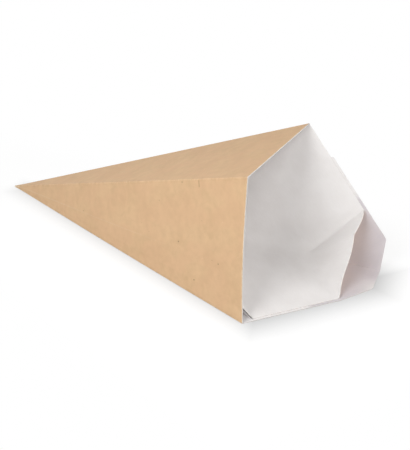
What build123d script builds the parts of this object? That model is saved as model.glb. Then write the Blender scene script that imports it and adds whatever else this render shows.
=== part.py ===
from build123d import *
from math import cos, radians, sin, sqrt, tan
import os

# Fries cone with a dip pocket: one sheet of board, folded, wrapped round itself and glued.
# The cone lies on its bottom wall, its tip towards -X, its mouth towards +X, +Z up.
# Sizes are millimetres. Lengths along creases and folds are measured from the tip.

# Board
board = 0.45               # thickness of one layer
fold_radius = 0.7          # outside radius of the folds at the mouth; they sharpen to the tip

# The four long walls
panel_angle = 21.1         # angle of each wall at the tip
opening_angle = 110.0      # angle between bottom wall and back wall
rear_crease = 240.0        # crease between bottom wall and back wall
front_crease = 197.5       # crease between front wall and upper wall
side_fold = 201.0          # the two folds at which the cone is pressed flat
tip_blunt = 1.6            # the tip is this much short of a point

# Mouth edge
end_width = 36.0           # straight end cut across the rear crease
end_corner_radius = 3.0    # rounding of the two corners of that cut
front_edge_hollow = 1.0    # how far the front wall's mouth edge curves in
bottom_edge_bow = 2.1      # how far the bottom wall's mouth edge stands out at the divider
layer_setback = 1.1        # inner layer's mouth edge behind the outer one's, where two layers end

# The two ends of the sheet
wrap_end = 52.5            # where the outer layer ends on the back wall, from the end cut
wrap_flare = 0.6           # how far that end of the mouth edge stands out
flap_width = 16.0          # glue flap of the inner layer on the front wall, at the mouth
corner_cut_bottom = 7.0    # where the inner layer leaves the bottom wall, from the side fold
corner_cut_front = 9.2     # where it lands on the front wall, from the side fold

# Dip pocket
pocket_depth = 40.5        # from the end cut to the pocket's bottom, along the rear crease
divider_back = 19.7        # divider's end on the back wall, from the end cut
divider_bottom = 21.0      # divider's end on the bottom wall, from the end cut
ridge_along = 17.2         # ridge of the divider, along the line between its two ends
ridge_out = 1.6            # how far the ridge reaches out past that line
ridge_rise = 4.0           # how far the ridge stands into the cone
wave_narrow = 1.3          # height of the half wave cut into the narrow facet
wave_wide = 0.9            # height of the whole wave cut into the wide facet

# Drawing aids
overlap = 8.0              # sheets are drawn this far past a fold, and trimmed there
lap = board / 4            # how far joined stretches of the sheet run into each other
tip = Vector(0, 0, 0)
middle_face, inner_face = board, 2 * board  # depths of the two layers' inner sides


def turned(start, side, angle):
    """Direction at an angle from start, turned towards side."""
    return start * cos(radians(angle)) + side * sin(radians(angle))


# Directions of the creases and side folds, seen from the tip. Opposite walls are alike, so the
# axis is halfway between the side folds, and the front crease mirrors the rear one in it.
rear = Vector(1, 0, 0)
side_lower = turned(rear, Vector(0, -1, 0), panel_angle)
back_slope = turned(Vector(0, -1, 0), Vector(0, 0, 1), opening_angle)
side_upper = turned(rear, back_slope, panel_angle)
axis = (side_lower + side_upper).normalized()
front = axis * (2 * rear.dot(axis)) - rear


class Wall:
    """A flat wall between a crease and a side fold. Depth runs from its outside inwards."""

    def __init__(self, crease, fold):
        self.crease = crease
        self.across = (fold - crease * fold.dot(crease)).normalized()
        normal = crease.cross(self.across)
        self.inward = normal if normal.dot(axis) > 0 else -normal

    def at(self, along, across, depth=0.0):
        return tip + self.crease * along + self.across * across + self.inward * depth

    def foot(self, point):
        return point - self.inward * (point - tip).dot(self.inward)

    def sheet(self, edges, outer, inner):
        """Sheet with the given outline, drawn on the outside, between two depths."""
        face = Face(Wire(edges)).moved(Location(self.inward * outer))
        return extrude(face, amount=inner - outer, dir=self.inward)


bottom_wall = Wall(rear, side_lower)
back_wall = Wall(rear, side_upper)
front_wall = Wall(front, side_lower)
upper_wall = Wall(front, side_upper)

# The inner layer of the bottom and back walls belongs to the same cone, moved down the front
# crease until those two walls lie one layer further in.
inner_tip = tip + front * (board / front.dot(bottom_wall.inward))


def cone_form(apex, round_folds):
    """Solid cone which trims the sheets so that they meet in the folds, rounded where asked."""
    ends = []
    for reach in (tip_blunt, 1.3 * rear_crease):
        height = (tip + axis * reach - apex).dot(axis)
        corners = [apex + ray * (height / ray.dot(axis)) for ray in (rear, side_lower, front, side_upper)]
        section = Face(Wire.make_polygon(corners, close=True))
        rounded = [
            section.vertices().sort_by_distance(apex + ray * (height / ray.dot(axis)))[0]
            for ray in round_folds
        ]
        ends.append(section.fillet_2d(fold_radius * reach / side_fold, rounded))
    faces = list(ends)
    for near, far in zip(ends[0].edges(), ends[1].edges()):
        if near.geom_type == GeomType.LINE:
            faces.append(Face(Wire.make_polygon([near @ 0, near @ 1, far @ 1, far @ 0], close=True)))
        else:
            faces.append(Face.make_surface_from_curves(near, far))
    return Solid(Shell(faces))


# Mouth edge of the bottom and back walls: from the end cut's corner straight to the side fold
half_end = end_width / 2
side_along = side_fold * cos(radians(panel_angle))
side_across = side_fold * sin(radians(panel_angle))
slope_length = sqrt((rear_crease - side_along) ** 2 + (side_across - half_end) ** 2)
slope_along = (side_along - rear_crease) / slope_length
slope_across = (side_across - half_end) / slope_length


def slope(wall, distance, setback=0.0, depth=0.0):
    """Point of that edge, at a distance from the end cut's corner and set back from the edge."""
    along = rear_crease + slope_along * distance - slope_across * setback
    across = half_end + slope_across * distance + slope_along * setback
    return wall.at(along, across, depth)


def outline(*points):
    return Wire.make_polygon(points, close=True).edges()


def with_round_corner(edges, corner):
    face = Face(Wire(edges))
    nearest = face.vertices().sort_by_distance(corner)[0]
    return face.fillet_2d(end_corner_radius, [nearest]).outer_wire().edges()


def bottom_sheet():
    corner = slope(bottom_wall, 0)
    edges = outline(
        bottom_wall.at(0, -overlap),
        bottom_wall.at(rear_crease, -overlap),
        corner,
        slope(bottom_wall, divider_bottom, -bottom_edge_bow),
        slope(bottom_wall, slope_length),
        bottom_wall.at(side_along, side_across + overlap),
        bottom_wall.at(0, overlap),
    )
    return bottom_wall.sheet(with_round_corner(edges, corner), -board, middle_face)


def wrap_sheet():
    """Outer layer of the back wall, from the rear crease to the end of the sheet."""
    corner = slope(back_wall, 0)
    edges = outline(
        back_wall.at(0, -overlap),
        back_wall.at(rear_crease, -overlap),
        corner,
        slope(back_wall, wrap_end, -wrap_flare),
        back_wall.at(0, 0),
    )
    return back_wall.sheet(with_round_corner(edges, corner), -board, middle_face)


def front_sheet():
    crease_end = front_wall.at(front_crease, 0)
    side_end = front_wall.at(side_along, side_across)
    middle = (crease_end + side_end) / 2 - front_wall.crease * front_edge_hollow
    edges = Wire.make_polygon([
        side_end,
        front_wall.at(side_along, side_across + overlap),
        front_wall.at(0, overlap),
        front_wall.at(0, -overlap),
        front_wall.at(front_crease, -overlap),
        crease_end,
    ], close=False).edges()
    mouth = ThreePointArc(crease_end, middle, side_end).edges()
    return front_wall.sheet(edges + mouth, -board, middle_face)


def inner_edge(distance, depth=0.0):
    """Point of the inner layer's mouth edge on the back wall, not set back at the side fold."""
    share = (slope_length - distance) / (slope_length - divider_back)
    return slope(back_wall, distance, layer_setback * share, depth)


def inner_side_end():
    """Where that edge reaches the upper side fold."""
    start = inner_edge(divider_back, board)
    edge = inner_edge(slope_length, board) - start
    level = edge.cross(back_wall.inward)
    return inner_tip + side_upper * ((start - inner_tip).dot(level) / side_upper.dot(level))


def upper_sheets():
    """Upper wall, as the half along the front crease and the half along the upper side fold."""
    crease_end = upper_wall.at(front_crease, 0)
    side_end = inner_side_end()
    middle = (crease_end + side_end) / 2
    crease_half = outline(
        upper_wall.at(0, -overlap),
        upper_wall.at(front_crease, -overlap),
        crease_end,
        middle + (side_end - crease_end).normalized() * lap,
        upper_wall.at(0, 0),
    )
    side_half = outline(
        upper_wall.at(0, -lap),
        middle,
        side_end,
        side_end + upper_wall.across * overlap,
        upper_wall.at(0, overlap),
    )
    return [upper_wall.sheet(half, -board, middle_face) for half in (crease_half, side_half)]


# Where the inner layer leaves a wall
seat = inner_face - lap
apex_along = rear_crease - pocket_depth
bottom_setback = layer_setback - bottom_edge_bow
leave_bottom = slope_length - corner_cut_bottom


def back_inner_sheet():
    """Inner layer of the back wall, up to the fold where the divider leaves it."""
    return back_wall.sheet(outline(
        back_wall.at(0, -overlap),
        back_wall.at(apex_along + lap, -overlap),
        back_wall.at(apex_along + lap, inner_face / tan(radians(opening_angle / 2))),
        inner_edge(divider_back - lap),
        inner_edge(slope_length + overlap),
        back_wall.at(0, overlap),
    ), 0, inner_face)


def front_edge(distance, setback, depth=0.0):
    """Point of the front wall's mouth chord, at a distance from the lower side fold."""
    start = front_wall.at(side_along, side_across)
    edge = (front_wall.at(front_crease, 0) - start).normalized()
    return start + edge * distance - front_wall.crease * setback + front_wall.inward * depth


# Near the tip, the line where the inner layer starts to cut the lower front corner
corner_lean = 1 + bottom_wall.inward.dot(front_wall.inward)
corner_start = tip + (bottom_wall.inward + front_wall.inward) * (seat / corner_lean)


def bottom_inner_sheet():
    """Inner layer of the bottom wall, from the divider to where it cuts the corner."""
    return bottom_wall.sheet(outline(
        bottom_wall.at(0, -overlap),
        bottom_wall.at(apex_along + lap, -overlap),
        bottom_wall.at(apex_along + lap, inner_face / tan(radians(opening_angle / 2))),
        slope(bottom_wall, divider_bottom - lap, bottom_setback),
        slope(bottom_wall, leave_bottom + lap, layer_setback),
        bottom_wall.foot(corner_start),
    ), board / 2, inner_face)


def flap_sheet():
    """Glue flap of the inner layer, on the inside of the front wall."""
    return front_wall.sheet(outline(
        front_wall.foot(corner_start),
        front_edge(corner_cut_front - lap, layer_setback),
        front_edge(corner_cut_front + flap_width, layer_setback),
    ), board / 2, inner_face)


def into_wall(start, end, across):
    """Step from a fold line into the wall behind it, away from the point across the facet."""
    line = (end - start).normalized()
    return (start - across + line * (across - start).dot(line)).normalized() * board


def facet(edges, away):
    """Sheet with the given outline on its visible side, and its thickness away from the cone."""
    face = Face(Wire(edges))
    normal = face.normal_at()
    return extrude(face, amount=board, dir=normal if normal.dot(away) > 0 else -normal)


def corner_sheet():
    """Where the inner layer cuts the lower front corner, with a gap behind it."""
    leave = slope(bottom_wall, leave_bottom, layer_setback + lap, seat)
    land = front_edge(corner_cut_front, layer_setback + lap, seat)
    down = into_wall(corner_start, leave, land)
    forwards = into_wall(corner_start, land, leave)
    return facet(outline(
        corner_start,
        corner_start + down,
        leave + down,
        leave,
        land,
        land + forwards,
        corner_start + forwards,
    ), -bottom_wall.inward - front_wall.inward)


def divider():
    """Inner layer pushed in across the rear crease: a narrow and a wide facet, wave-cut."""
    apex = back_wall.at(apex_along, seat / tan(radians(opening_angle / 2)), seat)
    back_end = slope(back_wall, divider_back, layer_setback + lap, seat)
    bottom_end = slope(bottom_wall, divider_bottom, bottom_setback + lap, seat)
    chord = (bottom_end - back_end).normalized()
    rise = (bottom_end - apex).cross(back_end - apex).normalized()
    out = rear - chord * rear.dot(chord)
    out = (out - rise * out.dot(rise)).normalized()
    ridge = back_end + chord * ridge_along + out * ridge_out + rise * ridge_rise

    def past(start, end, share, height):
        """Point of a facet's free edge, moved outwards from the straight line."""
        level = (start - apex).cross(end - apex)
        outwards = (end - start).cross(level).normalized()
        return start + (end - start) * share + outwards * height

    narrow_edge = Spline(back_end, past(back_end, ridge, 1 / 2, wave_narrow), ridge)
    wide_edge = Spline(
        ridge,
        past(ridge, bottom_end, 1 / 4, wave_wide),
        past(ridge, bottom_end, 1 / 2, 0),
        past(ridge, bottom_end, 3 / 4, -wave_wide),
        bottom_end,
    )
    back_step = into_wall(apex, back_end, ridge)
    bottom_step = into_wall(apex, bottom_end, ridge)
    narrow = Wire.make_polygon(
        [ridge, apex, apex + back_step, back_end + back_step, back_end], close=False
    )
    wide = Wire.make_polygon(
        [ridge, apex, apex + bottom_step, bottom_end + bottom_step, bottom_end], close=False
    )
    return (
        facet(narrow.edges() + narrow_edge.edges(), -rise)
        + facet(wide.edges() + wide_edge.edges(), -rise)
    )


# The stretches at the outer cone's folds, then those at the inner cone's upper side fold
upper_crease_half, upper_side_half = upper_sheets()
outer_sheets = bottom_sheet() + wrap_sheet() + front_sheet() + upper_crease_half
lining_sheets = bottom_inner_sheet() + flap_sheet() + corner_sheet()
inner_sheets = upper_side_half + back_inner_sheet()

cone = cone_form(tip, (rear, side_lower, front)) & (outer_sheets + lining_sheets)
cone += cone_form(inner_tip, (side_upper,)) & inner_sheets
cone += divider()

# The origin is the middle of the box's underside, where the cone lies on its bottom wall
box = cone.bounding_box()
middle = Vector(box.center().X, box.center().Y, box.min.Z)
cone = cone.moved(Location(-middle))

os.makedirs("parts", exist_ok=True)
export_step(cone, "parts/folded_cone.step")
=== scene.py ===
import math
import bmesh
import bpy
import numpy as np
from mathutils import Matrix, Vector


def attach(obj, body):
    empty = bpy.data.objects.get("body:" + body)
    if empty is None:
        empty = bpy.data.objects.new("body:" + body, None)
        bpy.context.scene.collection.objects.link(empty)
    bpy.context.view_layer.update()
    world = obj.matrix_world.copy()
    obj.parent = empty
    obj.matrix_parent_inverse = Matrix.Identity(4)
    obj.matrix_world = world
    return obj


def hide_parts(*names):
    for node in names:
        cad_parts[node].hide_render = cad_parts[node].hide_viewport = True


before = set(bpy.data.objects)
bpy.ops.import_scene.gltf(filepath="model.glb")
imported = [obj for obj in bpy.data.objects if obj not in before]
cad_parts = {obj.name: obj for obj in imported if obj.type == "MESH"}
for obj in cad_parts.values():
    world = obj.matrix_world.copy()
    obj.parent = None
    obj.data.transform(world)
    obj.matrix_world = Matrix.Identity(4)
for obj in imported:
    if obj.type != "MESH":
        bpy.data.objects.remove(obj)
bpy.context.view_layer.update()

# Folded board cone. Lengths are millimetres from the cone's tip until the mesh is made.
TIP = Vector((-0.120743, 0.024041, 0.0))   # the tip in the part's frame, metres
BOARD = 0.45                               # thickness
ONE, TWO = BOARD, 2 * BOARD                # depths of the inner sides of the last and the first turn
LAYER_GAP = 0.001                          # between turns that lie on each other

# Walls and folds
PANEL_ANGLE = math.radians(21.1)           # of each wall, between its crease and its side fold
OPENING_ANGLE = math.radians(110.0)        # between the bottom and the back wall
REAR_CREASE = 240.0
FRONT_CREASE = 197.5
SIDE_FOLD = 201.0                          # the upper and the lower one
INNER_RADIUS = 0.25                        # of the last turn's folds, on their inner side
TIP_BLUNT = 1.75                           # where the rays start, measured from the tip
TAPER = 9.0                                # below this distance from the tip, layers thin out
SIDE_BOW = 0.5                             # how far the lower side fold bows outwards, on the table
BOW_REACH = 0.9                            # share of the wall's width that the bow moves

# Mouth edge: a flat end across the rear crease, slopes to the side folds, and the front edge
END_WIDTH = 36.0
END_CORNER = 3.0                           # radius of the flat end's corners
FRONT_HOLLOW = 1.0                         # how far the front edge curves in
BOTTOM_BOW = 2.1                           # how far the bottom edge stands out where the divider ends
SETBACK = 1.1                              # from the last turn's edge to the first turn's
WRAP_END = 52.5                            # last turn's end on the back wall, from the flat end
WRAP_FLARE = 0.6                           # how far it stands out there

# First turn: corner facet, glue flap, and divider of the dip pocket
CUT_BOTTOM, CUT_FRONT = 7.0, 9.2           # corner facet on both walls, from the lower side fold
FLAP_WIDTH = 16.0
POCKET_DEPTH = 40.5                        # from the flat end back to the divider's apex
DIVIDER_BACK, DIVIDER_BOTTOM = 19.7, 21.0  # divider at both walls' mouth edges, from the flat end
RIDGE_ALONG, RIDGE_OUT, RIDGE_RISE = 17.2, 1.6, 4.0   # ridge at the mouth, from the back seam there
WAVE_NARROW, WAVE_WIDE = 1.3, 0.9          # height of the free edge's wave on both facets
WAVE_FADE = 3                              # power by which the wave fades towards the apex
CREASE_ROUND = 6.0                         # width of the first turn's rounded rear crease, at the apex
WIDE_ROUND, NARROW_ROUND, RIDGE_ROUND = 7.0, 1.2, 2.0   # on the divider's two seams and its ridge
ROUND_POWER = 0.7                          # below 1, a rounding widens quickly from its ends

# Spacing of the mesh
ROWS = np.concatenate([np.linspace(0.0, 0.8, 34), np.linspace(0.8, 1.0, 24)[1:]])   # closer at the mouth
SEAM_MARKS = [0.0, 0.02, 0.05, 0.1] + list(np.linspace(0.17, 0.83, 9)) + [0.9, 0.95, 0.98, 1.0]
END_MARKS, END_REACH = [0.0, 0.6, 1.6, 3.2], 5.5      # close marks at both ends of a long stretch
WIDE_STEP, FINE_STEP, CUT_STEP = 4.0, 3.0, 2.5
ARC_STEPS, HOLLOW_STEPS, FACET_STEPS = 6, 40, 14
ARC_TURN = 0.0005                          # radians of the flat sheet in each column of a fold's arc
SAME_PLACE = 4                             # decimals to which two points of one vertex agree
SHARP = math.radians(25)                   # an edge bent more than this is drawn sharp
FAR = 400.0                                # longer than any fold
TINY = 1e-6


def unit(v):
    return v / np.linalg.norm(v)


def between(a, b, share):
    return a + (b - a) * share


def turned(start, side, angle):
    return start * math.cos(angle) + side * math.sin(angle)


def facing(vector, way):
    """The vector or its opposite, whichever points along way."""
    return vector if vector.dot(way) > 0 else -vector


# Creases and side folds, as directions from the tip. The cone lies on its bottom wall.
NEARER, UP = np.array([0.0, -1.0, 0.0]), np.array([0.0, 0.0, 1.0])
rear = np.array([1.0, 0.0, 0.0])
side_lower = turned(rear, NEARER, PANEL_ANGLE)
side_upper = turned(rear, turned(NEARER, UP, OPENING_ANGLE), PANEL_ANGLE)
axis = unit(side_lower + side_upper)
front = axis * (2 * rear.dot(axis)) - rear


class Wall:
    """Long triangle between a crease and a side fold, which meet at the tip."""

    def __init__(self, crease, fold):
        self.crease = crease
        self.from_crease = unit(fold - crease * fold.dot(crease))
        self.from_side = crease * math.sin(PANEL_ANGLE) - self.from_crease * math.cos(PANEL_ANGLE)
        self.inward = facing(np.cross(crease, self.from_crease), axis)

    def at(self, along, across, depth=0.0):
        return self.crease * along + self.from_crease * across + self.inward * depth


bottom, back = Wall(rear, side_lower), Wall(rear, side_upper)
face, upper = Wall(front, side_lower), Wall(front, side_upper)
side_along, side_across = SIDE_FOLD * math.cos(PANEL_ANGLE), SIDE_FOLD * math.sin(PANEL_ANGLE)
slope_length = math.hypot(REAR_CREASE - side_along, side_across - END_WIDTH / 2)
slope_along = (side_along - REAR_CREASE) / slope_length
slope_across = (side_across - END_WIDTH / 2) / slope_length


def slope(wall, distance, setback, depth):
    """Point along the sloping mouth edge of the bottom or back wall, from the flat end's corner."""
    along = REAR_CREASE + slope_along * distance - slope_across * setback
    across = END_WIDTH / 2 + slope_across * distance + slope_along * setback
    return wall.at(along, across, depth)


def front_edge(distance):
    """Point on the first turn's mouth edge on the front wall, from the lower side fold."""
    start = face.at(side_along, side_across)
    edge = unit(face.at(FRONT_CREASE, 0) - start)
    return start + edge * distance - face.crease * SETBACK + face.inward * TWO


def offset(*planes):
    """Smallest vector with the given depths along the given normals."""
    normals = np.array([normal for normal, depth in planes])
    return np.linalg.pinv(normals) @ np.array([depth for normal, depth in planes])


def miter(*normals):
    """Normal where walls meet, so long that it reaches 1 along the normal of each."""
    return offset(*[(normal, 1.0) for normal in normals])


# Where each fold's line on the inner side starts, next to the tip
base_corner = offset((bottom.inward, TWO), (face.inward, TWO))
base_first = offset((bottom.inward, TWO), (back.inward, TWO))
base_upper = offset((back.inward, TWO), (upper.inward, ONE))
base_front = offset((upper.inward, ONE), (face.inward, ONE))
base_lower = offset((face.inward, ONE), (bottom.inward, ONE))
base_rear = offset((bottom.inward, ONE), (back.inward, ONE))

# First turn's corners at the mouth edge, and its divider
leave = slope(bottom, slope_length - CUT_BOTTOM, SETBACK, TWO)
land = front_edge(CUT_FRONT)
flap_end = front_edge(CUT_FRONT + FLAP_WIDTH)
apex = back.at(REAR_CREASE - POCKET_DEPTH, TWO / math.tan(OPENING_ANGLE / 2), TWO)
back_end = slope(back, DIVIDER_BACK, SETBACK, TWO)
bottom_end = slope(bottom, DIVIDER_BOTTOM, SETBACK - BOTTOM_BOW, TWO)
chord = unit(bottom_end - back_end)
rise = unit(np.cross(bottom_end - apex, back_end - apex))
outward = rear - chord * rear.dot(chord)
outward = unit(outward - rise * outward.dot(rise))
ridge = back_end + chord * RIDGE_ALONG + outward * RIDGE_OUT + rise * RIDGE_RISE
corner_normal = facing(unit(np.cross(leave - base_corner, land - base_corner)), axis)
narrow_normal = facing(unit(np.cross(back_end - apex, ridge - apex)), rise)
wide_normal = facing(unit(np.cross(bottom_end - apex, ridge - apex)), rise)


class Sheet:
    """Inner side of the sheet: columns of vertices from near the tip to the mouth edge."""

    def __init__(self):
        self.points, self.normals = [], []
        self.flat = []                         # each vertex's place on the flat sheet
        self.shares = []                       # share of the board's thickness at each vertex
        self.turns = []                        # 0 on the first turn, 1 on the last, 0.5 between them
        self.quads = []
        self.numbers = {}                      # number of the vertex at each place
        self.angle = 0.0                       # running angle round the flat sheet
        self.turn = 0.0                        # of the vertices that are added next

    def vertex(self, point, normal, flat, share=1.0):
        """Number of the vertex here, shared by every stretch that has the same point."""
        place = tuple(np.round(point, SAME_PLACE))
        if place not in self.numbers:
            self.numbers[place] = len(self.points)
            self.points.append(point)
            self.normals.append(normal)
            self.flat.append(flat)
            self.shares.append(share)
            self.turns.append(self.turn)
        return self.numbers[place]

    def grid(self, columns):
        """Quads between neighbouring columns, and none where two columns are the same."""
        for left, right in zip(columns, columns[1:]):
            for i in range(len(left) - 1):
                loop = [left[i], left[i + 1], right[i + 1], right[i]]
                loop = [v for k, v in enumerate(loop) if v != loop[k - 1]]
                if len(set(loop)) > 2:
                    self.quads.append(loop)

    def ray(self, mouth, base, normal, turn):
        """Column from the tip to the mouth point, turned further round the flat sheet."""
        self.angle += turn
        way = mouth - base
        length = np.linalg.norm(way)
        near = TIP_BLUNT / length
        column = []
        for row in ROWS:
            along = near + (1 - near) * row
            reach = along * length
            share = min(1.0, reach / TAPER)
            flat = (reach * math.cos(self.angle), reach * math.sin(self.angle))
            column.append(self.vertex(way * along + base * share, normal, flat, share))
        return column

    def wall(self, mouth_points, base_a, base_b, normal):
        """Columns over one wall; the base moves from one fold's to the other's."""
        total = sum(np.linalg.norm(b - a) for a, b in zip(mouth_points, mouth_points[1:]))
        run, made, last = 0.0, [], None
        for i, point in enumerate(mouth_points):
            if i:
                run += np.linalg.norm(point - mouth_points[i - 1])
            base = between(base_a, base_b, run / total)
            way = unit(point - base)
            turn = 0.0 if last is None else math.acos(min(1.0, max(-1.0, way.dot(last))))
            last = way
            made.append(self.ray(point, base, normal, turn))
        return made

    def fold(self, arc, base):
        """Columns over a rounded fold."""
        return [self.ray(point, base, normal, ARC_TURN) for point, normal in arc]

    def facet(self, seam_end, normal, wave):
        """Facet of the divider, from its seam on a wall to the ridge; its free edge follows wave.

        Its texture is laid on from above.
        """
        free = facing(unit(np.cross(ridge - seam_end, normal)), rear)
        columns = []
        for mark in SEAM_MARKS:
            start, end = between(apex, seam_end, mark), between(apex, ridge, mark)
            column = []
            for i in range(FACET_STEPS + 1):
                share = i / FACET_STEPS
                point = between(start, end, share) + free * wave(share) * mark ** WAVE_FADE
                column.append(self.vertex(point, normal, (point[0], point[1])))
            columns.append(column)
        self.grid(columns)
        return columns

    def crease(self, numbers, *normals):
        """Normals on a sharp fold, so long that the board keeps its thickness on all sides."""
        for number in numbers:
            self.normals[number] = miter(*normals)


def polyline(points, step):
    """Points along straight stretches, no further apart than step."""
    made = [points[0]]
    for a, b in zip(points, points[1:]):
        count = max(2, int(math.ceil(np.linalg.norm(b - a) / step)))
        made += [between(a, b, (i + 1) / count) for i in range(count)]
    return made


def denser_ends(a, b):
    """Points from a to b, closer together near both ends."""
    length = np.linalg.norm(b - a)
    inner = np.linspace(END_REACH, length - END_REACH, max(2, int(length / WIDE_STEP)))
    marks = END_MARKS + list(inner) + [length - mark for mark in reversed(END_MARKS)]
    return [between(a, b, mark / length) for mark in marks]


def swept(start, end):
    """Vectors on the way from start to end, which are equally long, at equal angles."""
    sweep = math.acos(start.dot(end) / start.dot(start))
    return [(start * math.sin((1 - w) * sweep) + end * math.sin(w * sweep)) / math.sin(sweep)
            for w in (i / ARC_STEPS for i in range(1, ARC_STEPS))]


def rounded_fold(mouth, before, into_before, after, into_after):
    """A fold's mouth points: end on the wall before, (point, normal) pairs, end on the wall after."""
    half = math.acos(before.inward.dot(after.inward)) / 2
    reach = INNER_RADIUS * math.tan(half)
    centre = mouth + unit(into_before + into_after) * (INNER_RADIUS / math.cos(half))
    arc = [(centre - normal * INNER_RADIUS, normal) for normal in swept(before.inward, after.inward)]
    return mouth + into_before * reach, arc, mouth + into_after * reach


def rounded_corner(before, corner, after):
    """Start, middle points and end of a rounded corner of the flat end."""
    u, v = unit(before - corner), unit(after - corner)
    half = math.acos(u.dot(v)) / 2
    reach = END_CORNER / math.tan(half)
    centre = corner + unit(u + v) * (END_CORNER / math.sin(half))
    start, end = corner + u * reach, corner + v * reach
    return start, [centre + spoke for spoke in swept(start - centre, end - centre)], end


# Folds of the last turn. The upper one ends where the back wall's mouth edge meets its line.
level = np.cross(slope(back, slope_length, 0, TWO) - back_end, back.inward)
upper_mouth = base_upper + side_upper * ((back_end - base_upper).dot(level) / side_upper.dot(level))
upper_start, upper_arc, upper_end = rounded_fold(
    upper_mouth, back, back.from_side, upper, upper.from_side)
front_start, front_arc, front_end = rounded_fold(
    front * FRONT_CREASE + base_front, upper, upper.from_crease, face, face.from_crease)
lower_start, lower_arc, lower_end = rounded_fold(
    side_lower * SIDE_FOLD + base_lower, face, face.from_side, bottom, bottom.from_side)
rear_start, rear_arc, rear_end = rounded_fold(
    rear * REAR_CREASE + base_rear, bottom, bottom.from_crease, back, back.from_crease)

# First turn, from the glue flap over the corner facet and the bottom wall's lining to the back wall.
# At the divider its edge runs back to the apex along one seam and out again along the other.
sheet = Sheet()
flap = sheet.wall(polyline([flap_end, land], FINE_STEP), base_corner, base_corner, face.inward)
cut = sheet.wall(polyline([land, leave], CUT_STEP), base_corner, base_corner, corner_normal)
lining = sheet.wall(denser_ends(leave, bottom_end), base_corner, base_first, bottom.inward)
bottom_seam = sheet.wall([between(bottom_end, apex, mark) for mark in SEAM_MARKS],
                         base_first, base_first, bottom.inward)
back_seam = sheet.wall([between(apex, back_end, mark) for mark in SEAM_MARKS],
                       base_first, base_first, back.inward)
back_wall = sheet.wall(denser_ends(back_end, upper_start), base_first, base_upper, back.inward)

# Last turn: upper wall, front wall, bottom wall, and the wrap behind the back wall
sheet.turn = 0.5
upper_fold = sheet.fold(upper_arc, base_upper)
sheet.turn = 1.0
upper_wall = sheet.wall(denser_ends(upper_end, front_start), base_upper, base_front, upper.inward)
front_angle = sheet.angle
front_fold = sheet.fold(front_arc, base_front)
hollow = [between(front_end, lower_start, i / HOLLOW_STEPS)
          - face.crease * FRONT_HOLLOW * math.sin(math.pi * i / HOLLOW_STEPS)
          for i in range(HOLLOW_STEPS + 1)]
face_wall = sheet.wall(hollow, base_front, base_lower, face.inward)
lower_fold = sheet.fold(lower_arc, base_lower)
bow = slope(bottom, DIVIDER_BOTTOM, -BOTTOM_BOW, ONE)
end_corner = slope(bottom, 0, 0, ONE)
corner_start, corner_arc, corner_end = rounded_corner(bow, end_corner, rear_start)
bottom_wall = sheet.wall(
    polyline([lower_end, bow, corner_start], WIDE_STEP) + corner_arc
    + polyline([corner_end, rear_start], FINE_STEP),
    base_lower, base_rear, bottom.inward)
rear_fold = sheet.fold(rear_arc, base_rear)
wrap_end = slope(back, WRAP_END, -WRAP_FLARE, ONE)
corner_start, corner_arc, corner_end = rounded_corner(rear_end, slope(back, 0, 0, ONE), wrap_end)
wrap = sheet.wall(
    polyline([rear_end, corner_start], FINE_STEP) + corner_arc
    + polyline([corner_end, wrap_end], WIDE_STEP),
    base_rear, back.inward * ONE, back.inward)
sheet.grid(flap + cut + lining + bottom_seam + back_seam + back_wall + upper_fold + upper_wall
           + front_fold + face_wall + lower_fold + bottom_wall + rear_fold + wrap)

# Divider of the dip pocket: wide facet from the bottom wall, narrow facet from the back wall
sheet.turn = 0.0
sheet.facet(bottom_end, wide_normal, lambda share: WAVE_WIDE * math.sin(2 * math.pi * (1 - share)))
narrow = sheet.facet(back_end, narrow_normal, lambda share: WAVE_NARROW * math.sin(math.pi * share))

# Sharp folds of the first turn; the apex, where four of them meet, comes last
sheet.crease(cut[0], face.inward, corner_normal)
sheet.crease(cut[-1], corner_normal, bottom.inward)
sheet.crease(bottom_seam[-1], bottom.inward, back.inward)
sheet.crease([column[-1] for column in bottom_seam], bottom.inward, wide_normal)
sheet.crease([column[-1] for column in back_seam], back.inward, narrow_normal)
sheet.crease([column[-1] for column in narrow], wide_normal, narrow_normal)
sheet.crease([narrow[0][0]], bottom.inward, back.inward, wide_normal, narrow_normal)

inside = np.array(sheet.points)
depth = np.array(sheet.normals) * np.array(sheet.shares)[:, None]
outside = inside - depth * (BOARD - LAYER_GAP)
turns = np.array(sheet.turns)
count = len(inside)


def bowed(points):
    """Lower side fold bowed outwards a little between tip and mouth, on the table."""
    along = np.clip(points @ side_lower / SIDE_FOLD, 0.0, 1.0)
    away = points - np.outer(points @ side_lower, side_lower)
    width = TINY + along * SIDE_FOLD * math.tan(PANEL_ANGLE) * BOW_REACH
    share = np.clip(1.0 - np.linalg.norm(away, axis=1) / width, 0.0, 1.0)
    push = SIDE_BOW * np.sin(math.pi * along) * share ** 2 * (3 - 2 * share)
    side = unit(np.array([side_lower[1], -side_lower[0], 0.0]))
    return points + np.outer(push, side)


def eased(a, b, n_a, n_b, reach, side=1.0):
    """Push on the first turn that rounds the fold from a to b; reach is the rounded width along it."""
    way, length = unit(b - a), np.linalg.norm(b - a)
    along = np.clip((inside - a) @ way, 0.0, length)
    away = np.linalg.norm(inside - a - np.outer(along, way), axis=1)
    half = math.acos(n_a.dot(n_b)) / 2
    radius = reach(along / length) + TINY
    depth = math.tan(half) * np.maximum(0.0, radius - away * math.cos(half)) ** 2 / (2 * radius)
    return np.outer(depth * (turns == 0.0), unit(n_a + n_b)) * side


def swell(width):
    """Width of a rounding along its fold: none at both ends, the most in the middle."""
    return lambda share: width * np.sin(math.pi * np.clip(share, 0, 1)) ** ROUND_POWER


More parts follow.
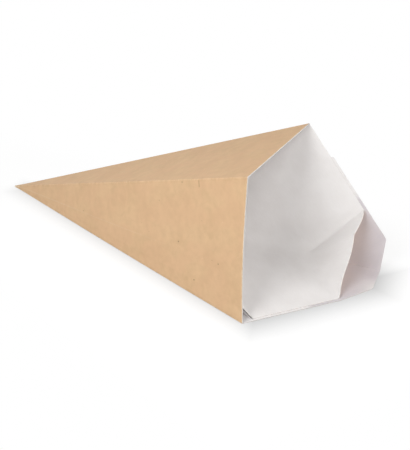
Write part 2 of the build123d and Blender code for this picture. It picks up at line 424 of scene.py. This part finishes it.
push = eased(base_first, apex, bottom.inward, back.inward, lambda share: CREASE_ROUND * share)
push = push + eased(apex, bottom_end, bottom.inward, wide_normal, swell(WIDE_ROUND))
push = push + eased(apex, back_end, back.inward, narrow_normal, swell(NARROW_ROUND))
push = push + eased(apex, ridge, wide_normal, narrow_normal, swell(RIDGE_ROUND), -1.0)
inside, outside = bowed(inside + push), bowed(outside + push)


def rim_edges(quads):
    """Edges that belong to one quad only."""
    uses = {}
    for quad in quads:
        for a, b in zip(quad, quad[1:] + quad[:1]):
            uses.setdefault((min(a, b), max(a, b)), []).append((a, b))
    return [pairs[0] for pairs in uses.values() if len(pairs) == 1]


# Mesh of the board: inner side, outer side, and the cut edge between them
KRAFT, WHITE, EDGE = 0, 1, 2                   # numbers of the materials
rim = rim_edges(sheet.quads)
points = np.vstack([inside, outside]) / 1000.0 + np.array(TIP)
faces = sheet.quads + [[v + count for v in reversed(quad)] for quad in sheet.quads]
faces = faces + [[b, a, a + count, b + count] for a, b in rim]
kinds = [WHITE] * len(sheet.quads) + [KRAFT] * len(sheet.quads) + [EDGE] * len(rim)
mesh = bpy.data.meshes.new("cone_board")
mesh.from_pydata([tuple(point) for point in points], [], faces)
mesh.update()
cone = bpy.data.objects.new("cone_board", mesh)
bpy.context.scene.collection.objects.link(cone)

# Flat sheet as UV, in metres from the tip, with the front crease along U
uv = mesh.uv_layers.new(name="Sheet")
flat = np.array(sheet.flat + sheet.flat) / 1000.0
c, s = math.cos(front_angle), math.sin(front_angle)
flat = flat @ np.array([[c, -s], [s, c]])
for poly in mesh.polygons:
    poly.material_index = kinds[poly.index]
    poly.use_smooth = True
    for loop in poly.loop_indices:
        uv.data[loop].uv = flat[mesh.loops[loop].vertex_index]


def distance(points, a, b):
    """Distance from each point to the stretch from a to b."""
    way = b - a
    t = np.clip((points - a) @ way / way.dot(way), 0.0, 1.0)
    return np.linalg.norm(points - a - t[:, None] * way, axis=1)


def nearest(stretches):
    """Distance from each point of the inner side to the nearest of the stretches."""
    return np.min([distance(inside, a, b) for a, b in stretches], axis=0)


def paint(label, values):
    """Value at each vertex for the materials, the same on both sides of the board."""
    layer = mesh.attributes.new(label, "FLOAT", "POINT")
    layer.data.foreach_set("value", np.concatenate([values, values]).astype(np.float32))


# Distances to the folds, to any edge, and to the last turn's edges
folds = [(base_first, base_first + rear * FAR), (base_rear, base_rear + rear * FAR),
         (base_lower, base_lower + side_lower * FAR), (base_front, base_front + front * FAR),
         (base_upper, base_upper + side_upper * FAR), (base_corner, leave), (base_corner, land),
         (apex, ridge), (apex, bottom_end), (apex, back_end)]
paint("fold", nearest(folds))
paint("edge", nearest([(inside[a], inside[b]) for a, b in rim]))
paint("inset", nearest([(inside[a], inside[b]) for a, b in rim if turns[a] == 1.0 and turns[b] == 1.0]))
paint("turn", turns)

# Outer side of the facet that closes off the lower corner, where the kraft material paints a shadow
# strip along the facet's edge and a near-white lit face beyond it
closed = np.zeros(count)
closed[[number for column in cut for number in column]] = 1.0
paint("closed", closed)

# Painted shade on the last turn inside the dip pocket, with a painted pool of light that weakens it near
# the flat end's corner on the bottom wall
POCKET_FADE, LIT_REACH, LIT_SHARE = 0.8, 10.0, 0.75
below = np.maximum(*[-(inside - apex) @ normal for normal in (wide_normal, narrow_normal)])
pocket = np.clip(below / POCKET_FADE + 0.5, 0.0, 1.0) * (turns == 1.0)
lit = np.clip(1.0 - np.linalg.norm(inside - end_corner, axis=1) / LIT_REACH, 0.0, 1.0)
paint("pocket", pocket * (1.0 - LIT_SHARE * lit))

bm = bmesh.new()
bm.from_mesh(mesh)
bmesh.ops.recalc_face_normals(bm, faces=bm.faces)
for bm_edge in bm.edges:
    bm_edge.smooth = len(bm_edge.link_faces) == 2 and bm_edge.calc_face_angle(0.0) < SHARP
bm.to_mesh(mesh)
bm.free()
print("cone_board", len(mesh.vertices), "vertices", len(mesh.polygons), "faces")


class Nodes:
    """Short ways to add nodes to a node tree."""

    def __init__(self, tree):
        self.tree = tree

    def add(self, kind, values=(), **settings):
        node = self.tree.nodes.new("ShaderNode" + kind)
        for key, value in settings.items():
            setattr(node, key, value)
        for key, value in dict(values).items():
            if isinstance(value, bpy.types.NodeSocket):
                self.tree.links.new(value, node.inputs[key])
            else:
                node.inputs[key].default_value = value
        return node.outputs

    def math(self, operation, a, b=0.0):
        return self.add("Math", {0: a, 1: b}, operation=operation)[0]

    def remap(self, value, low, high, out_low=0.0, out_high=1.0):
        return self.add("MapRange", {"Value": value, "From Min": low, "From Max": high,
                                     "To Min": out_low, "To Max": out_high},
                        interpolation_type="SMOOTHSTEP")["Result"]

    def seen(self):
        """1 for rays from the camera, a mirror or something clear; 0 for rays that gather light."""
        rays = self.add("LightPath")
        direct = self.math("MAXIMUM", rays["Is Camera Ray"], rays["Is Glossy Ray"])
        return self.math("MAXIMUM", direct, rays["Is Transmission Ray"])


SPECK_CORE = 0.45                              # share of a fleck's radius that is fully coloured


class Shader(Nodes):
    """Principled material, with short ways to place patterns on the flat sheet."""

    def __init__(self, name, rough, specular):
        self.material = bpy.data.materials.new(name)
        self.material.use_nodes = True
        super().__init__(self.material.node_tree)
        self.body = self.tree.nodes["Principled BSDF"]
        self.body.inputs["Roughness"].default_value = rough
        self.body.inputs["Specular IOR Level"].default_value = specular

    def link(self, socket, name):
        self.tree.links.new(socket, self.body.inputs[name])

    def flat(self):
        """Place on the flat sheet in metres."""
        return self.add("UVMap", uv_map="Sheet")[0]

    def sheet(self, along, across, turn=0.0):
        """Place on the flat sheet in cells; sizes are millimetres per cell along U and V."""
        place = self.flat()
        if turn:
            place = self.add("VectorRotate", {"Vector": place, "Angle": turn}, rotation_type="Z_AXIS")[0]
        scale = (1000.0 / along, 1000.0 / across, 1.0)
        return self.add("VectorMath", {0: place, 1: scale}, operation="MULTIPLY")[0]

    def noise(self, place, detail=3.0, distortion=0.0, rough=0.5):
        return self.add("TexNoise", {"Vector": place, "Scale": 1.0, "Detail": detail, "Roughness": rough,
                                     "Distortion": distortion})["Fac"]

    def value(self, label):
        """Value painted on the vertices."""
        return self.add("Attribute", attribute_name=label)["Fac"]

    def near(self, label, full, none):
        """1 up to the first distance from a fold or an edge, 0 beyond the second; millimetres."""
        return self.remap(self.value(label), full, none, 1.0, 0.0)

    def times(self, a, b):
        return self.math("MULTIPLY", a, b)

    def weighted(self, *parts):
        """Sum of values, each times its weight."""
        total = None
        for value, weight in parts:
            part = self.times(value, weight)
            total = part if total is None else self.math("ADD", total, part)
        return total

    def mix(self, share, a, b):
        """Colour between a and b."""
        node = self.tree.nodes.new("ShaderNodeMix")
        node.data_type = "RGBA"
        factor, colour_a, colour_b = node.inputs[0], node.inputs[6], node.inputs[7]
        for socket, value in ((factor, share), (colour_a, a), (colour_b, b)):
            if isinstance(value, bpy.types.NodeSocket):
                self.tree.links.new(value, socket)
            else:
                socket.default_value = value if socket is factor else (*value, 1)
        return node.outputs[2]

    def bump(self, height, millimetres, below=None):
        """Relief of this height, on top of the relief below."""
        values = {"Height": height, "Distance": millimetres / 1000.0, "Strength": 1.0}
        if below is not None:
            values["Normal"] = below
        return self.add("Bump", values)["Normal"]

    def specks(self, cell, stretch, size, share):
        """Small flecks: 1 inside a fleck, one in some of the cells."""
        spots = self.add("TexVoronoi", {"Vector": self.sheet(cell, cell * stretch), "Scale": 1.0})
        chance = self.add("SeparateColor", {"Color": spots["Color"]})
        radius = self.times(chance[1], size)
        fleck = self.remap(spots["Distance"], self.times(radius, SPECK_CORE), radius, 1.0, 0.0)
        return self.times(fleck, self.math("LESS_THAN", chance[0], share))


# Colours of the kraft side
KRAFT_DARK, KRAFT_LIGHT, KRAFT_RED = (0.665, 0.44, 0.25), (0.765, 0.522, 0.307), (0.735, 0.455, 0.275)
PALE_SPECK, DARK_SPECK = (0.86, 0.64, 0.42), (0.30, 0.17, 0.08)
PRESSED_FOLD, WORN_FOLD, FRAYED_EDGE = (0.56, 0.35, 0.19), (0.83, 0.63, 0.42), (0.86, 0.74, 0.58)
NICK_COLOUR, FLECK_COLOUR = (0.36, 0.22, 0.11), (0.26, 0.15, 0.08)
# Painted shadow in the gap under the corner facet's edge, and a near-white painted lit face on the rest
# of the facet's outer side
PAINTED_SLIT_SHADOW, PAINTED_LIT_FACE = (0.04, 0.035, 0.033), (0.92, 0.89, 0.885)

# Nick on the front wall, in metres: along the front crease from the tip, and away from the crease.
# Each limit is a pair, since the nick fades from the one to the other.
NICK_ALONG, NICK_HALF_WIDTH = 0.1658, (0.00005, 0.0005)
NICK_START, NICK_END = (0.0004, 0.0009), (0.0038, 0.0046)

# Dark flecks on the front wall, in millimetres: along, away from the crease, and radius
FLECKS = ((154.0, 1.3, 0.45), (148.1, 32.6, 0.6), (174.7, 43.4, 0.5), (157.2, 52.6, 0.6))


def kraft_marks(kraft, colour):
    """Small upright nick beside the front crease, and four dark flecks."""
    spot = kraft.add("SeparateXYZ", {0: kraft.flat()})
    off_line = kraft.math("ABSOLUTE", kraft.math("SUBTRACT", spot[0], NICK_ALONG))
    nick = kraft.remap(off_line, *NICK_HALF_WIDTH, 0.55, 0.0)
    nick = kraft.times(nick, kraft.remap(spot[1], *NICK_START))
    nick = kraft.times(nick, kraft.remap(spot[1], *NICK_END, 1.0, 0.0))
    colour = kraft.mix(nick, colour, NICK_COLOUR)
    for along, across, size in FLECKS:
        centre = (along / 1000, across / 1000, 0.0)
        away = kraft.add("VectorMath", {0: kraft.flat(), 1: centre}, operation="DISTANCE")["Value"]
        fleck = kraft.remap(away, size / 3000, size / 1000, 0.7, 0.0)
        colour = kraft.mix(fleck, colour, FLECK_COLOUR)
    return colour


def kraft_material():
    """Brown outer side: cloudy tone, fibres mostly across the cone, flecks, and worn folds."""
    kraft = Shader("kraft", 0.78, 0.22)
    kraft.body.inputs["Sheen Weight"].default_value = 0.12
    kraft.body.inputs["Sheen Roughness"].default_value = 0.5
    cloud = kraft.noise(kraft.sheet(11.0, 16.0), 3.0, 0.4)
    patch = kraft.noise(kraft.sheet(3.6, 4.2), 3.0, 0.3)
    fibre = kraft.noise(kraft.sheet(0.45, 2.4), 4.0, 0.9, 0.6)
    cross = kraft.noise(kraft.sheet(0.40, 2.0, 1.1), 3.0, 0.8, 0.6)
    tooth = kraft.noise(kraft.sheet(0.16, 0.22), 3.0, 0.0, 0.6)
    hue = kraft.noise(kraft.sheet(15.0, 12.0), 2.0, 0.3)
    tone = kraft.weighted((cloud, 0.38), (patch, 0.45), (fibre, 0.09), (cross, 0.08))
    colour = kraft.mix(kraft.remap(tone, 0.28, 0.72), KRAFT_DARK, KRAFT_LIGHT)
    colour = kraft.mix(kraft.remap(hue, 0.35, 0.65, 0.0, 0.3), colour, KRAFT_RED)
    colour = kraft.mix(kraft.times(kraft.specks(2.6, 1.8, 0.13, 0.30), 0.5), colour, PALE_SPECK)
    colour = kraft.mix(kraft.times(kraft.specks(5.0, 1.2, 0.085, 0.34), 0.75), colour, DARK_SPECK)
    pressed = kraft.times(kraft.near("fold", 0.3, 1.6), kraft.remap(patch, 0.35, 0.65, 0.25, 0.05))
    colour = kraft.mix(pressed, colour, PRESSED_FOLD)
    worn = kraft.times(kraft.near("fold", 0.2, 0.6), kraft.remap(fibre, 0.45, 0.65, 0.0, 0.4))
    colour = kraft.mix(worn, colour, WORN_FOLD)
    colour = kraft_marks(kraft, colour)
    frayed = kraft.times(kraft.near("edge", 0.05, 0.7), kraft.remap(fibre, 0.35, 0.6, 0.1, 0.7))
    colour = kraft.mix(frayed, colour, FRAYED_EDGE)
    # Painted shade and light on the corner facet's outer side: dark within about 1 mm of its edge,
    # near-white further in
    painted_slit_shade_and_light = kraft.mix(kraft.remap(kraft.value("edge"), 0.95, 1.6), PAINTED_SLIT_SHADOW, PAINTED_LIT_FACE)
    colour = kraft.mix(kraft.value("closed"), colour, painted_slit_shade_and_light)
    kraft.link(colour, "Base Color")
    kraft.link(kraft.remap(patch, 0.3, 0.7, 0.70, 0.86), "Roughness")
    relief = kraft.bump(patch, 0.03)
    relief = kraft.bump(fibre, 0.014, relief)
    relief = kraft.bump(cross, 0.009, relief)
    kraft.link(kraft.bump(tooth, 0.008, relief), "Normal")
    return kraft.material


# Colours of the white side, each from its darker to its lighter tone
FIRST_TURN = (0.825, 0.798, 0.782), (0.875, 0.852, 0.838)
# The last turn's tones are painted shade with painted pink bounce light, for the dip pocket; a small
# share of them also darkens the rest of the last turn
SHADED_LAST_TURN = (0.595, 0.555, 0.58), (0.645, 0.605, 0.63)
LAST_TURN_SHARE = 0.14                         # of the last turn's colour outside the pocket
CRACK_COLOUR, WHITE_SPECK = (0.62, 0.53, 0.44), (0.55, 0.47, 0.40)


def white_material():
    """White inner side: smooth paper, faint formation and fibres, with painted shade and painted pink
    bounce light in the pocket.
    """
    white = Shader("white_lining", 0.55, 0.3)
    cloud = white.noise(white.sheet(9.0, 14.0), 3.0, 0.4)
    fibre = white.noise(white.sheet(0.4, 3.0), 3.0, 0.8)
    tooth = white.noise(white.sheet(0.2, 0.3), 3.0)
    tone = white.remap(white.weighted((cloud, 0.6), (fibre, 0.4)), 0.3, 0.7)
    # Share of the painted shade: full in the pocket, a little less near the last turn's edges, and a
    # small share elsewhere on the last turn
    last = white.times(white.value("pocket"), white.remap(white.value("inset"), 0.1, 2.5, 0.92, 1.0))
    last = white.math("MAXIMUM", last, white.times(white.value("turn"), LAST_TURN_SHARE))
    colour = white.mix(last, white.mix(tone, *FIRST_TURN), white.mix(tone, *SHADED_LAST_TURN))
    crack = white.times(white.near("fold", 0.05, 0.4), white.remap(fibre, 0.45, 0.62, 0.0, 0.15))
    colour = white.mix(crack, colour, CRACK_COLOUR)
    colour = white.mix(white.times(white.specks(7.0, 1.2, 0.05, 0.2), 0.35), colour, WHITE_SPECK)
    white.link(colour, "Base Color")
    white.link(white.remap(cloud, 0.3, 0.7, 0.50, 0.62), "Roughness")
    relief = white.bump(cloud, 0.08)
    relief = white.bump(fibre, 0.012, relief)
    white.link(white.bump(tooth, 0.005, relief), "Normal")
    return white.material


# Colours of the cut edge: dull on the last turn, and partly pale on the first
DULL_EDGE = (0.56, 0.52, 0.49), (0.65, 0.625, 0.61)
PALE_EDGE = (0.80, 0.75, 0.68), (0.90, 0.88, 0.85)
PALE_SHARE = 0.4


def edge_material():
    """Cut edge: fibres, a little ragged."""
    edge = Shader("cut_edge", 0.85, 0.2)
    strand = edge.noise(edge.sheet(0.25, 0.25), 4.0, 0.6, 0.6)
    dull = edge.mix(edge.remap(strand, 0.3, 0.7), *DULL_EDGE)
    pale = edge.mix(edge.remap(strand, 0.3, 0.7), *PALE_EDGE)
    away_from_last = edge.remap(edge.value("inset"), 1.5, 4.0, 0.0, PALE_SHARE)
    edge.link(edge.mix(away_from_last, dull, pale), "Base Color")
    edge.link(edge.bump(strand, 0.06), "Normal")
    return edge.material


for material in (kraft_material(), white_material(), edge_material()):
    mesh.materials.append(material)
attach(cone, "root")
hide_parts("folded_cone")

# Floor and room, in metres
FLOOR_SIZE, FLOOR_DROP = 8.0, 0.0002
FLOOR_TONE = 0.6                               # of the floor as it lights the cone
NEAR_TONE, GLOW = 0.25, 0.78                   # of the floor in view near the cone: lit, and glowing
# The contact shade is a painted shadow drawn from the footprint's outline; only the floor's lit part
# adds the lamps' real shadows
CONTACT = 0.9                                  # how dark the contact shade gets
SHADE_SHIFT = Vector((0.0057, -0.0003, 0))     # the shade lies a little to the right
SHADE_TIP = 0.010                              # how much sooner the shade ends at the tip
SHADE_FROM, SHADE_TO = -0.031, 0.0155          # the shade fades from inside the footprint to outside
WHITE_FROM, WHITE_TO = 0.025, 0.07             # further out, the floor in view turns white
ROOM = 0.25                                    # strength of the room's light


def outside_footprint(ground):
    """Distance outside the cone's footprint, which is moved by the shift and cut short at the tip."""
    place = ground.add("TexCoord")["Object"]
    foot = [TIP, TIP + Vector(side_lower) * SIDE_FOLD / 1000,
            TIP + Vector((REAR_CREASE, -END_WIDTH / 2, 0)) / 1000,
            TIP + Vector((REAR_CREASE, 0, 0)) / 1000]
    limits = []
    for a, b in zip(foot, foot[1:] + foot[:1]):
        away = Vector((b.y - a.y, a.x - b.x, 0)).normalized()
        limits.append((away, (a + SHADE_SHIFT).dot(away)))
    past_tip = Vector((-axis[0], -axis[1], 0)).normalized()
    limits.append((past_tip, TIP.dot(past_tip) - SHADE_TIP))
    gap = None
    for away, limit in limits:
        beyond = ground.add("VectorMath", {0: place, 1: away}, operation="DOT_PRODUCT")["Value"]
        beyond = ground.math("SUBTRACT", beyond, limit)
        gap = beyond if gap is None else ground.math("MAXIMUM", gap, beyond)
    return gap


def floor_material():
    """Pale floor with a painted soft contact shade round the cone's footprint, white further away; plain
    for the light.
    """
    ground = Shader("floor", 0.9, 0.0)
    ground.body.inputs["Base Color"].default_value = (FLOOR_TONE, FLOOR_TONE, FLOOR_TONE, 1)
    gap = outside_footprint(ground)
    shade = ground.remap(gap, SHADE_FROM, SHADE_TO, 1.0 - CONTACT, 1.0)
    lit = ground.add("BsdfDiffuse", {"Color": ground.mix(shade, (0, 0, 0), (NEAR_TONE,) * 3)})[0]
    glow = ground.add("Emission", {"Strength": ground.math("MULTIPLY", shade, GLOW)})[0]
    near = ground.add("AddShader", {0: lit, 1: glow})[0]
    plain = ground.add("Emission", {"Strength": 1.0})[0]
    view = ground.add("MixShader", {0: ground.remap(gap, WHITE_FROM, WHITE_TO), 1: near, 2: plain})[0]
    mixed = ground.add("MixShader", {0: ground.seen(), 1: ground.body.outputs[0], 2: view})[0]
    ground.tree.links.new(mixed, ground.tree.nodes["Material Output"].inputs["Surface"])
    return ground.material


bpy.ops.mesh.primitive_plane_add(size=FLOOR_SIZE, location=(0, 0, -FLOOR_DROP))
floor = bpy.context.object
floor.name = "floor"
floor.data.materials.append(floor_material())

# World: white where it is seen, ROOM as light
scene = bpy.context.scene
world = bpy.data.worlds.new("room")
scene.world = world
world.use_nodes = True
room = Nodes(world.node_tree)
sky = world.node_tree.nodes["Background"]
sky.inputs["Color"].default_value = (1, 1, 1, 1)
room.tree.links.new(room.remap(room.seen(), 0.0, 1.0, ROOM, 1.0), sky.inputs["Strength"])

# Lamps: target, degrees round and above it, distance and width in metres, watts
MIDDLE, NEAR_MOUTH = (0.05, 0.0, 0.02), (0.078, 0.0, 0.02)
LAMPS = (
    ("key", NEAR_MOUTH, -30, 42, 0.5, 0.3, 1.19),
    ("fill", NEAR_MOUTH, 36, 46, 0.9, 0.5, 2.26),
    ("back", MIDDLE, -125, 48, 1.0, 0.4, 1.58),
    ("right", NEAR_MOUTH, 80, 15, 1.0, 0.3, 2.55),
    ("low", NEAR_MOUTH, 100, 12, 1.0, 0.3, 3.4),
)


def area(name, target, azimuth, elevation, distance, size, power):
    """Round lamp that points at its target."""
    a, e = math.radians(azimuth), math.radians(elevation)
    way = Vector((math.sin(a) * math.cos(e), -math.cos(a) * math.cos(e), math.sin(e)))
    data = bpy.data.lights.new(name, "AREA")
    data.shape = "DISK"
    data.size = size
    data.energy = power
    lamp = bpy.data.objects.new(name, data)
    scene.collection.objects.link(lamp)
    lamp.location = Vector(target) + way * distance
    lamp.rotation_mode = "QUATERNION"
    lamp.rotation_quaternion = way.to_track_quat("Z", "Y")


for lamp_values in LAMPS:
    area(*lamp_values)

# Camera, from the fit to the photo
AZIMUTH, ELEVATION = math.radians(-23.52), math.radians(31.852)
EYE = (0.2851, -0.3418, 0.2353)                # from the tip, metres
FOCAL_LENGTH, LONG_SIDE = 746.8, 450           # pixels of the photo
SENSOR = 36.0
forward = Vector((math.sin(AZIMUTH) * math.cos(ELEVATION), math.cos(AZIMUTH) * math.cos(ELEVATION),
                  -math.sin(ELEVATION)))
right = Vector((math.cos(AZIMUTH), -math.sin(AZIMUTH), 0))
up = right.cross(forward)
camera = bpy.data.objects.new("camera", bpy.data.cameras.new("camera"))
scene.collection.objects.link(camera)
camera.matrix_world = Matrix((
    (right.x, up.x, -forward.x, EYE[0] + TIP.x),
    (right.y, up.y, -forward.y, EYE[1] + TIP.y),
    (right.z, up.z, -forward.z, EYE[2] + TIP.z),
    (0, 0, 0, 1),
))
camera.data.sensor_width = SENSOR
camera.data.lens = FOCAL_LENGTH / LONG_SIDE * SENSOR
camera.data.clip_start, camera.data.clip_end = 0.01, 20
scene.camera = camera
scene.view_settings.view_transform = "Standard"
